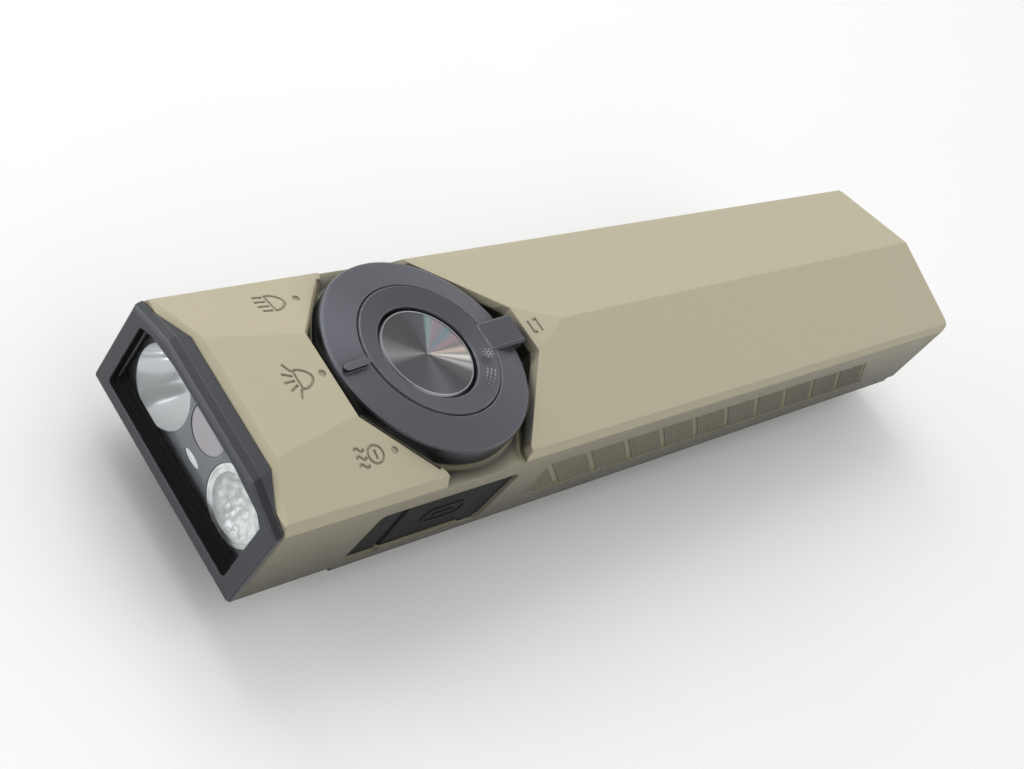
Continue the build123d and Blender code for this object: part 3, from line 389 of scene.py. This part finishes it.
def lens_finish():
    """Clear moulded optic: bright, with painted mottling in its colour that stands in for light through its
    facets and from what is behind it.
    """
    surface = Shader("moulded_optic")
    patches = surface.noise(0.75, detail=3)
    # painted mottling: stands in for light through the facets and from behind the optic
    tone = surface.blend(surface.remap(patches, 0.38, 0.62), srgb(226, 227, 224), srgb(255, 255, 254))
    surface.link(tone, surface.bsdf.inputs["Base Color"])
    surface.link(surface.remap(patches, 0.3, 0.7, 0.05, 0.16), surface.bsdf.inputs["Roughness"])
    surface.link(surface.bump(surface.cells(1.6), 0.10), surface.bsdf.inputs["Normal"])
    surface.set(Transmission_Weight=0.1, IOR=1.5, Coat_Weight=0.7, Coat_Roughness=0.04)
    return surface.material


def window_finish():
    """Thin coated glass: mostly clear, with a faint reflection."""
    surface = Shader("window_glass")
    clear = surface.node("ShaderNodeBsdfTransparent")
    clear.inputs["Color"].default_value = (0.96, 0.97, 0.975, 1)
    gloss = surface.node("ShaderNodeBsdfGlossy")
    gloss.inputs["Color"].default_value = (0.8, 0.86, 0.95, 1)
    surface.link(surface.remap(surface.noise(0.5), 0.3, 0.7, 0.015, 0.05), gloss.inputs["Roughness"])
    fresnel = surface.node("ShaderNodeFresnel")
    fresnel.inputs["IOR"].default_value = GLASS_IOR
    outside = surface.node("ShaderNodeNewGeometry")
    share = surface.math("MULTIPLY", fresnel.outputs[0],
                         surface.math("SUBTRACT", 1.0, outside.outputs["Backfacing"]))
    both = surface.node("ShaderNodeMixShader")
    surface.link(share, both.inputs[0])
    surface.link(clear.outputs[0], both.inputs[1])
    surface.link(gloss.outputs[0], both.inputs[2])
    surface.link(both.outputs[0], surface.output.inputs["Surface"])
    surface.tree.nodes.remove(surface.bsdf)
    return surface.material


def glossy_finish(name, colour, rough, mottle=0.08, **constants):
    """Polished plastic or filter glass with the faintest waves."""
    surface = Shader(name)
    tone = surface.blend(surface.noise(0.3, detail=3), colour * (1 - mottle), colour * (1 + mottle))
    surface.link(tone, surface.bsdf.inputs["Base Color"])
    surface.link(surface.remap(surface.noise(1.2), 0.3, 0.7, rough * 0.7, rough * 1.3),
                 surface.bsdf.inputs["Roughness"])
    surface.link(surface.bump(surface.noise(0.5), 0.004), surface.bsdf.inputs["Normal"])
    surface.set(**constants)
    return surface.material


def all_finishes():
    """One material for each of the record's slots."""
    return {
        "shell": shell_finish(),
        "bezel_metal": bezel_finish(),
        "window": window_finish(),
        "black_rubber": rubber_finish("black_rubber", srgb(26, 26, 27)),
        "optics_plate": glossy_finish("plate_gloss", srgb(112, 113, 116), rough=0.18, Coat_Weight=0.5),
        "mirror_cup": mirror_finish(),
        "clear_lens": lens_finish(),
        "uv_filter": glossy_finish("uv_filter", srgb(172, 164, 167), rough=0.12, Coat_Weight=0.6),
        "emitter": coated("emitter", srgb(226, 208, 120), srgb(240, 240, 236), rough=0.4, grain=0.08,
                          depth=0.004),
        "brass_parts": coated("machined_brass", srgb(196, 158, 96), srgb(226, 196, 140), rough=0.35,
                              grain=0.1, depth=0.004, Metallic=1.0),
        "board": coated("solder_mask", srgb(38, 84, 58), srgb(90, 110, 80), rough=0.4, grain=0.2,
                        depth=0.004),
        "dial_metal": dial_finish(),
        "dial_centre_metal": dial_centre_finish(),
        "button_metal": button_finish(),
        "steel": coated("plain_steel", srgb(170, 170, 172), srgb(215, 215, 216), rough=0.32, grain=0.1,
                        depth=0.003, Metallic=1.0),
        "magnet": coated("nickel_plate", srgb(200, 198, 194), srgb(230, 230, 228), rough=0.18, grain=0.1,
                         depth=0.002, Metallic=1.0),
        "black_plastic": coated("black_plastic", srgb(36, 36, 38), srgb(70, 70, 72), rough=0.5, grain=0.15,
                                depth=0.006),
        "cell_foil": coated("cell_foil", srgb(186, 190, 196), srgb(210, 212, 216), rough=0.35, grain=0.4,
                            depth=0.02, Metallic=0.8),
        "foam": coated("soft_foam", srgb(48, 48, 48), srgb(70, 70, 70), rough=0.9, grain=0.3, depth=0.08),
        "port_rubber": rubber_finish("port_rubber", srgb(13, 14, 17), rough=0.55),
        "clip_metal": coated("clip_coating", srgb(44, 45, 48), srgb(120, 121, 124), rough=0.38, grain=0.12,
                             depth=0.006, wear_and_highlight=0.8, Metallic=0.3),
        "screw_steel": coated("black_oxide", srgb(74, 74, 77), srgb(150, 150, 152), rough=0.36, grain=0.1,
                              depth=0.004, wear_and_highlight=0.9, Metallic=0.9),
    }


# ================================================================ mesh helpers
def piece(name, mesh, body, finish, replaces=()):
    """Finished object that rides on a body and material."""
    mesh.update()
    made = bpy.data.objects.new(name, mesh)
    bpy.context.scene.collection.objects.link(made)
    mesh.materials.append(finish)
    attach(made, body)
    if replaces:
        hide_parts(*replaces)
    return made


def lathe(name, profile, centre, axis, segments=160):
    """Closed solid turned from (radius, distance along the axis) points round a line along Y or Z."""
    shape = bmesh.new()
    along = Vector((0, 1, 0)) if axis == "Y" else Vector((0, 0, 1))
    across = Vector((1, 0, 0))
    third = along.cross(across)
    rings = []
    for radius, distance in profile:
        if radius < 1e-9:
            rings.append([shape.verts.new(centre + along * distance)])
            continue
        rings.append([shape.verts.new(centre + along * distance + (across * cos(a) + third * sin(a)) * radius)
                      for a in (2 * pi * step / segments for step in range(segments))])
    for ring, following in zip(rings, rings[1:] + rings[:1]):
        join_rings(shape, ring, following, segments)
    bmesh.ops.recalc_face_normals(shape, faces=shape.faces)
    mesh = bpy.data.meshes.new(name)
    shape.to_mesh(mesh)
    shape.free()
    mesh.shade_smooth()
    mesh.set_sharp_from_angle(angle=radians(28))
    return mesh


def join_rings(shape, ring, following, segments):
    """Faces between two rings of a turned solid; a ring of one vertex is a point on the axis."""
    if len(ring) == 1 and len(following) == 1:
        return
    for step in range(segments):
        after = (step + 1) % segments
        corners = [ring[step % len(ring)], ring[after % len(ring)],
                   following[after % len(following)], following[step % len(following)]]
        shape.faces.new(list(dict.fromkeys(corners)))


def ribbon(shape, points, width, thick, place, closed=False):
    """Flat band along a line of (u, v) points, standing on the plane of a place matrix."""
    count = len(points)
    rows = []
    for index, point in enumerate(points):
        before = points[index - 1] if index or closed else point
        after = points[(index + 1) % count] if index < count - 1 or closed else point
        along = Vector((after[0] - before[0], after[1] - before[1])).normalized()
        side = Vector((-along.y, along.x)) * width / 2
        corners = [(point[0] + side.x, point[1] + side.y), (point[0] - side.x, point[1] - side.y)]
        rows.append([shape.verts.new(place @ Vector((u, v, w))) for w in (0, thick) for u, v in corners])
    pairs = list(zip(rows, rows[1:] + rows[:1])) if closed else list(zip(rows, rows[1:]))
    for low, high in pairs:
        for a, b in ((0, 1), (1, 3), (3, 2), (2, 0)):
            shape.faces.new((low[a], low[b], high[b], high[a]))
    if not closed:
        shape.faces.new([rows[0][i] for i in (0, 2, 3, 1)])
        shape.faces.new([rows[-1][i] for i in (0, 1, 3, 2)])


def closed_mesh(name, shape):
    """Mesh of a finished shape with its normals facing out."""
    bmesh.ops.recalc_face_normals(shape, faces=shape.faces)
    mesh = bpy.data.meshes.new(name)
    shape.to_mesh(mesh)
    shape.free()
    return mesh


def arc(centre, radius, start, end, steps):
    """Points on a circle between two angles in degrees."""
    return [(centre[0] + radius * cos(radians(start + (end - start) * k / steps)),
             centre[1] + radius * sin(radians(start + (end - start) * k / steps))) for k in range(steps + 1)]


# ================================================================ pieces
def grip_ribs(side, name, finish):
    """Fine diagonal ribs that fill the sunk panels between the grip grooves on one side wall."""
    low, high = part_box("main_housing")
    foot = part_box("bezel")[0].z
    face = high.x if side > 0 else low.x
    floor = face - side * GRIP_SUNK * MM
    rise = GRIP_HIGH - GRIP_LOW
    step = (GRIP_PITCH - GROOVE_RUN) / RIBS_PER_PANEL
    half, top_half, tall = step * RIB_FOOT, step * RIB_TOP, RIB_TALL * GRIP_SUNK
    shape = bmesh.new()
    for panel in range(GRIP_GROOVES):
        groove = rise + GRIP_PITCH * panel
        for rib in range(RIBS_PER_PANEL):
            run = groove - GROOVE_RUN / 2 - step * (rib + 0.5)
            top = min(rise, run)
            if top < SHORTEST_RIB:
                continue
            rows = []
            for up in (0.0, top):
                middle = low.y + (GRIP_START + run - up) * MM
                rows.append([shape.verts.new((floor + side * out * MM, middle + along * MM,
                                              foot + (GRIP_LOW + up) * MM))
                             for along, out in ((-half, 0), (-top_half, tall), (top_half, tall), (half, 0))])
            for a, b in ((0, 1), (1, 2), (2, 3), (3, 0)):
                shape.faces.new((rows[0][a], rows[0][b], rows[1][b], rows[1][a]))
            shape.faces.new(rows[0])
            shape.faces.new(rows[1][::-1])
    return piece(name, closed_mesh(name, shape), "housing", finish)


def spun_button(finish):
    """Button cap with a chamfered edge, a flat lip and a shallow cone of fine turned rings."""
    low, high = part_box("button_cap")
    centre = Vector(((low.x + high.x) / 2, (low.y + high.y) / 2, 0))
    radius, top = (high.x - low.x) / 2, high.z
    chamfer, lip, dish = 0.28 * MM, 0.22 * MM, 0.10 * MM
    step_wide, step_deep, step_foot = 0.05 * MM, 0.06 * MM, 0.04 * MM
    ring_pitch, ring_depth = 0.24 * MM, 0.004 * MM
    profile = [(0, low.z), (radius, low.z), (radius, top - chamfer), (radius - chamfer, top),
               (radius - chamfer - lip, top), (radius - chamfer - lip - step_wide, top - step_deep)]
    cone = profile[-1][0] - step_foot
    rings = int(cone / ring_pitch)
    for ring in range(rings):
        outer = cone * (1 - ring / rings)
        level = top - step_deep - dish * (1 - outer / cone)
        profile += [(outer, level), (outer - cone / rings / 2, level - ring_depth)]
    profile.append((0, top - step_deep - dish))
    mesh = lathe("spun_button", profile, centre, "Z", segments=192)
    return piece("spun_button", mesh, "button", finish, replaces=("button_cap",))


def reflector_cup(finish):
    """Smooth parabolic cup, with a thinner wall where it passes through the optics plate."""
    low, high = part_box("spot_reflector")
    centre = Vector(((low.x + high.x) / 2, 0, (low.z + high.z) / 2))
    wall, thin_wall, steps = 0.35 * MM, 0.05 * MM, 44
    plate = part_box("optics_plate")
    rim_inset, throat, front_gap = 0.48 * MM, 1.25 * MM, 0.04 * MM
    rim = (high.x - low.x) / 2 - rim_inset
    depth = high.y - plate[0].y - front_gap
    inner = [(throat + (rim - throat) * sqrt(k / steps), high.y - depth * k / steps)
             for k in range(steps + 1)]
    outer = [(min(radius + wall, rim + (thin_wall if y < plate[1].y else wall)), y)
             for radius, y in reversed(inner)]
    mesh = lathe("reflector_cup", inner + outer, centre, "Y", segments=160)
    return piece("reflector_cup", mesh, "housing", finish, replaces=("spot_reflector",))


def pebbled_optic(finish):
    """Moulded optic: bright rim, a step, and a dish covered in small facets."""
    low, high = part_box("flood_lens")
    centre = Vector(((low.x + high.x) / 2, 0, (low.z + high.z) / 2))
    radius = (high.x - low.x) / 2 - 0.05 * MM
    front = low.y
    deep = high.y - 0.3 * MM
    edge = 0.05 * MM
    dish_share, steps = 0.78, 30
    dish_start, dish_fall = 0.25, 1.35
    dish = [(radius * (1 - k / steps) * dish_share,
             front + (dish_start + dish_fall * sin(pi / 2 * k / steps)) * MM) for k in range(steps)]
    profile = [(0, deep), (radius * 0.5, deep), (radius * 0.96, front + 1.2 * MM),
               (radius, front + 0.9 * MM), (radius, front + edge), (radius - edge, front),
               (radius * 0.93, front), (radius * 0.92, front + edge), (radius * 0.885, front + edge),
               (radius * 0.875, front), (radius * 0.80, front + 0.02 * MM), *dish,
               (0, front + (dish_start + dish_fall) * MM)]
    mesh = lathe("pebbled_optic", profile, centre, "Y", segments=144)
    pebbled_share, pebbled_depth = 0.77, 1.7 * MM
    pebbles_per_mm, level, height, calm = 1.15, 0.35, 0.42 * MM, 0.3 * MM
    for vertex in mesh.vertices:
        spread = (vertex.co - centre) * Vector((1, 0, 1))
        if spread.length < radius * pebbled_share and vertex.co.y < front + pebbled_depth:
            distances, _ = noise.voronoi(vertex.co / MM * pebbles_per_mm)
            vertex.co.y += (distances[0] - level) * height * min(1, spread.length / calm)
    return piece("pebbled_optic", mesh, "housing", finish, replaces=("flood_lens",))


def window_shroud(finish):
    """Black stepped liner of the bezel's window, standing for the seal behind it and for the shade inside the
    opening, painted black; its sill rises inwards.
    """
    low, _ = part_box("bezel")
    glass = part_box("front_glass")[0].y
    base = low.z
    front = low.y + SHROUD_FRONT
    depth = glass - GLASS_GAP - front
    shape = bmesh.new()
    rows = []
    for inset, sill, share in SHROUD_STEPS:
        bottom, top, half = SILL_Z + sill, LINTEL_Z - inset * LINTEL_INSET, OPENING_HALF - inset
        right = [(half - SILL_CUT, bottom), (half, bottom + SILL_CUT)]
        right += [(half - inward, top - drop) for inward, drop in SHOULDER]
        outline = right + [(-x, z) for x, z in reversed(right)]
        rows.append([shape.verts.new((x * MM, front + depth * share, base + z * MM)) for x, z in outline])
    for row, following in zip(rows, rows[1:] + rows[:1]):
        for index in range(len(row)):
            after = (index + 1) % len(row)
            shape.faces.new((row[index], row[after], following[after], following[index]))
    return piece("window_shroud", closed_mesh("window_shroud", shape), "housing", finish,
                 replaces=("glass_gasket",))


def port_sign(finish):
    """Raised outline of a charging socket on the rubber flap."""
    low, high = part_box("port_cover")
    middle = Vector((high.x - SIGN_SUNK, (low.y + high.y) / 2 - SIGN_FORWARD, (low.z + high.z) / 2))
    # u runs along Y, v along Z, and the thickness along X
    out_of_side = Matrix(((0, 0, 1, 0), (1, 0, 0, 0), (0, 1, 0, 0), (0, 0, 0, 1)))
    place = Matrix.Translation(middle) @ out_of_side
    outline = arc((SIGN_HALF, 0), SIGN_RADIUS, -90, 90, 14) + arc((-SIGN_HALF, 0), SIGN_RADIUS, 90, 270, 14)
    shape = bmesh.new()
    ribbon(shape, outline, SIGN_LINE, SIGN_TALL, place, closed=True)
    ribbon(shape, [(-SIGN_BAR, 0), (SIGN_BAR, 0)], SIGN_LINE, SIGN_TALL, place)
    return piece("port_sign", closed_mesh("port_sign", shape), "port_flap", finish)


def dial_marks(finish):
    """Small sun and fading bars on the dial's middle ring."""
    low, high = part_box("button_cap")
    centre = Vector(((low.x + high.x) / 2, (low.y + high.y) / 2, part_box("dial_face")[1].z - FACE_DROP))

    def place(angle, radius=MARK_RADIUS):
        drop = (MARK_RADIUS - radius) * tan(radians(FACE_TILT))
        return (Matrix.Translation(centre) @ Matrix.Rotation(radians(angle), 4, "Z")
                @ Matrix.Translation((radius, 0, -drop)) @ Matrix.Rotation(radians(-FACE_TILT), 4, "Y"))

    shape = bmesh.new()
    sun = place(SUN_ANGLE)
    ribbon(shape, arc((0, 0), SUN_RADIUS, 0, 345, 23), MARK_LINE, MARK_THICK, sun, closed=True)
    for ray in range(RAYS):
        turn = radians(360 / RAYS * (ray + 0.5))
        ends = [(reach * cos(turn), reach * sin(turn)) for reach in (RAY_START, RAY_END)]
        ribbon(shape, ends, MARK_LINE, MARK_THICK, sun)
    for row, length in enumerate(BAR_LENGTHS):
        for column in (-1, 0, 1):
            spot = place(BARS_ANGLE - BAR_STEP * row, MARK_RADIUS + column * BAR_APART)
            ribbon(shape, [(0, -length * MM / 2), (0, length * MM / 2)], MARK_LINE, MARK_THICK, spot)
    return piece("dial_marks", closed_mesh("dial_marks", shape), "dial", finish)


# ================================================================ stage, light and camera
def pale_floor():
    """Plain pale table with the faintest mottling."""
    shape = bmesh.new()
    bmesh.ops.create_circle(shape, cap_ends=True, segments=96, radius=FLOOR_RADIUS)
    mesh = bpy.data.meshes.new("floor")
    shape.to_mesh(mesh)
    shape.free()
    floor = bpy.data.objects.new("floor", mesh)
    bpy.context.scene.collection.objects.link(floor)
    surface = Shader("floor_paper")
    tone = surface.blend(surface.noise(0.02, detail=3), srgb(247, 247, 247), srgb(251, 251, 250))
    surface.link(tone, surface.bsdf.inputs["Base Color"])
    surface.set(Roughness=0.85)
    mesh.materials.append(surface.material)


def soft_light(name, towards, distance, size, power):
    """Round white area light that shines at the object from a direction."""
    light = bpy.data.lights.new(name, "AREA")
    light.shape = "DISK"
    light.size = size
    light.energy = power
    lamp = bpy.data.objects.new(name, light)
    bpy.context.scene.collection.objects.link(lamp)
    direction = Vector(towards).normalized()
    lamp.location = AIM + direction * distance
    lamp.rotation_mode = "QUATERNION"
    lamp.rotation_quaternion = direction.to_track_quat("Z", "Y")


def studio():
    """Soft even tent with a dim patch towards the front, a large soft key and a low fill."""
    world = bpy.data.worlds.new("studio")
    world.use_nodes = True
    tree = world.node_tree
    background = tree.nodes["Background"]
    direction = tree.nodes.new("ShaderNodeTexCoord")
    share = tree.nodes.new("ShaderNodeVectorMath")
    share.operation = "DOT_PRODUCT"
    share.inputs[1].default_value = Vector(TENT_DIM).normalized()
    tree.links.new(direction.outputs["Generated"], share.inputs[0])
    level = tree.nodes.new("ShaderNodeMapRange")
    level.interpolation_type = "SMOOTHSTEP"
    dim, bright = TENT_LEVELS
    start, end = TENT_EDGE
    for key, number in (("From Min", start), ("From Max", end), ("To Min", bright), ("To Max", dim)):
        level.inputs[key].default_value = number
    tree.links.new(share.outputs["Value"], level.inputs["Value"])
    tree.links.new(level.outputs["Result"], background.inputs["Strength"])
    background.inputs["Color"].default_value = (1.0, 1.0, 1.0, 1)
    bpy.context.scene.world = world
    soft_light("key", KEY_TOWARDS, KEY_DISTANCE, KEY_SIZE, KEY_POWER)
    soft_light("fill", FILL_TOWARDS, FILL_DISTANCE, FILL_SIZE, FILL_POWER)
    bpy.context.scene.view_settings.view_transform = "Standard"


def photo_camera():
    """Camera at the photographed viewing angle, rolled about its own axis."""
    turn, rise = radians(AZIMUTH), radians(ELEVATION)
    back = Vector((sin(turn) * cos(rise), -cos(turn) * cos(rise), sin(rise)))
    data = bpy.data.cameras.new("camera")
    data.lens = LENS
    data.sensor_width = SENSOR_WIDTH
    data.clip_start, data.clip_end = 0.01, 20.0
    camera = bpy.data.objects.new("camera", data)
    bpy.context.scene.collection.objects.link(camera)
    camera.location = AIM + back * DISTANCE
    camera.rotation_mode = "QUATERNION"
    roll = Matrix.Rotation(radians(ROLL), 3, "Z").to_quaternion()
    camera.rotation_quaternion = back.to_track_quat("Z", "Y") @ roll
    bpy.context.scene.camera = camera


# ================================================================ build
finishes = all_finishes()
for part in frame["record"]["subparts"]:
    frame["nodes"][part["node"]].material_slots[0].material = finishes[part["material_slot"]]

grip_ribs(1, "grip_ribs_right", finishes["shell"])
grip_ribs(-1, "grip_ribs_left", finishes["shell"])
spun_button(finishes["button_metal"])
reflector_cup(finishes["mirror_cup"])
pebbled_optic(finishes["clear_lens"])
# black liner in the bezel's opening: partly the seal, partly painted shade
seal_and_shade_liner = rubber_finish("liner_rubber", srgb(11, 11, 11), rough=0.75)
window_shroud(seal_and_shade_liner)
port_sign(finishes["port_rubber"])
mark_paint = coated("mark_paint", srgb(150, 152, 156), srgb(170, 172, 176), rough=0.5, grain=0.1, depth=0.003)
dial_marks(mark_paint)

pale_floor()
studio()
photo_camera()
